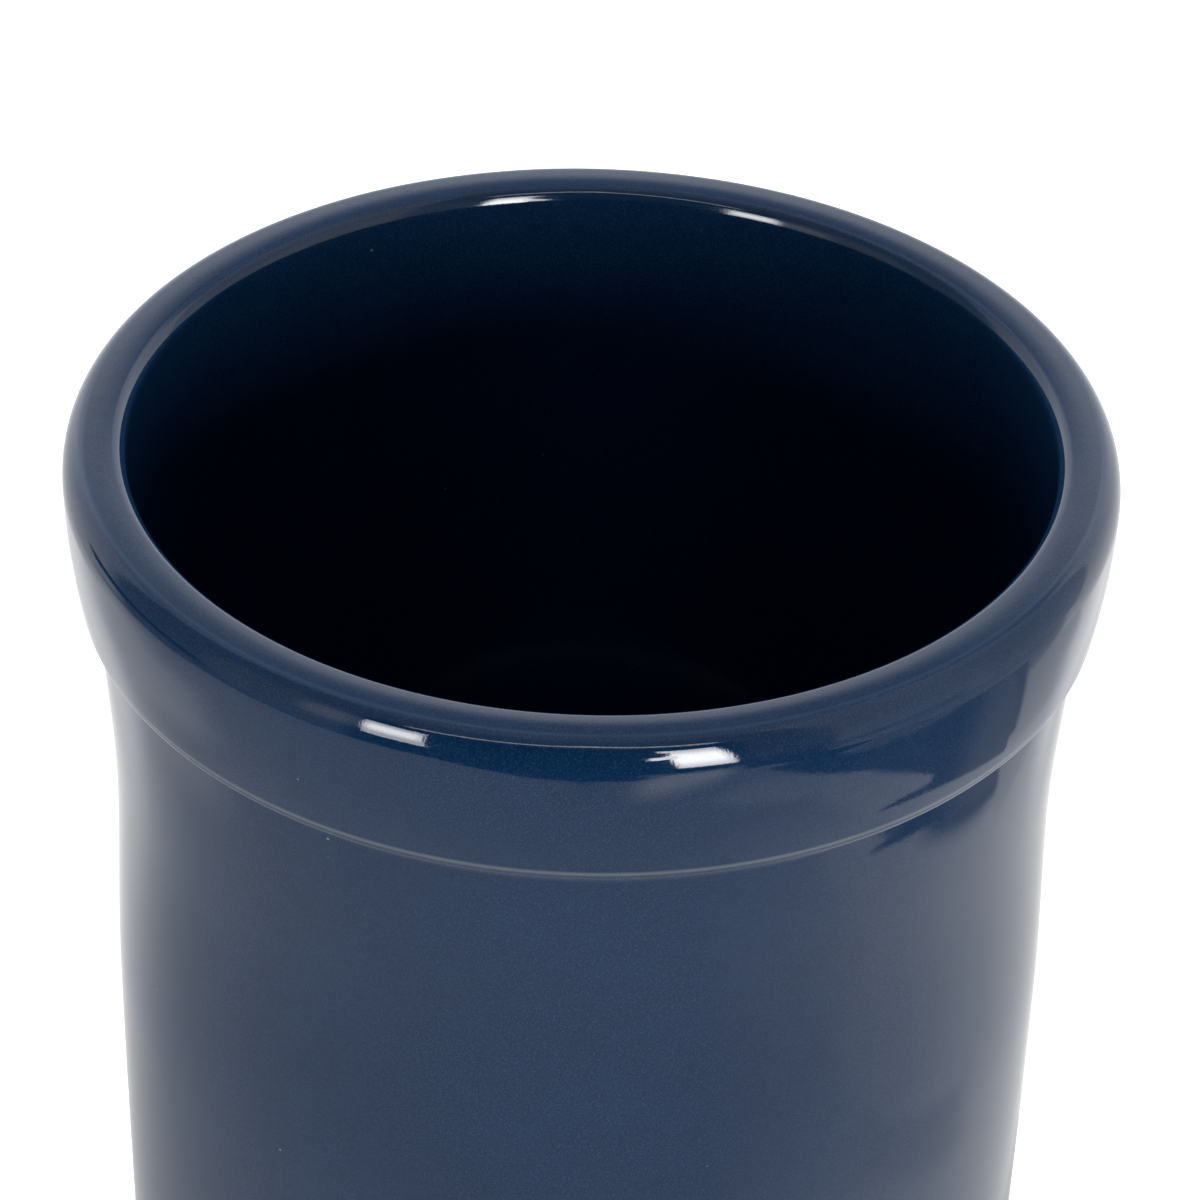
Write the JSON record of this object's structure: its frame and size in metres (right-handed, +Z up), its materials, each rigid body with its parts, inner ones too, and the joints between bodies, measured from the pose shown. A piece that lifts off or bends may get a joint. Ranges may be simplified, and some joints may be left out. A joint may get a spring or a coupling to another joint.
{
  "type": "utensil crock",
  "caption": "Round glazed stoneware crock with a raised collar round its open mouth, which holds kitchen utensils upright.",
  "frame": {"origin": "centre of the foot ring, on the surface that the crock stands on", "axes": "+Z up the crock's axis of revolution, towards the open mouth; X and Y are free, as the crock is round"},
  "size_m": [0.1522, 0.1522, 0.178],
  "materials": {
    "fired_clay": "matt, fine-grained, bare",
    "navy_glaze": "high gloss"
  },
  "bodies": {
    "root": {"clay_body": "fired_clay", "glaze_coat": "navy_glaze", "base_glaze": "navy_glaze"}
  },
  "joints": []
}
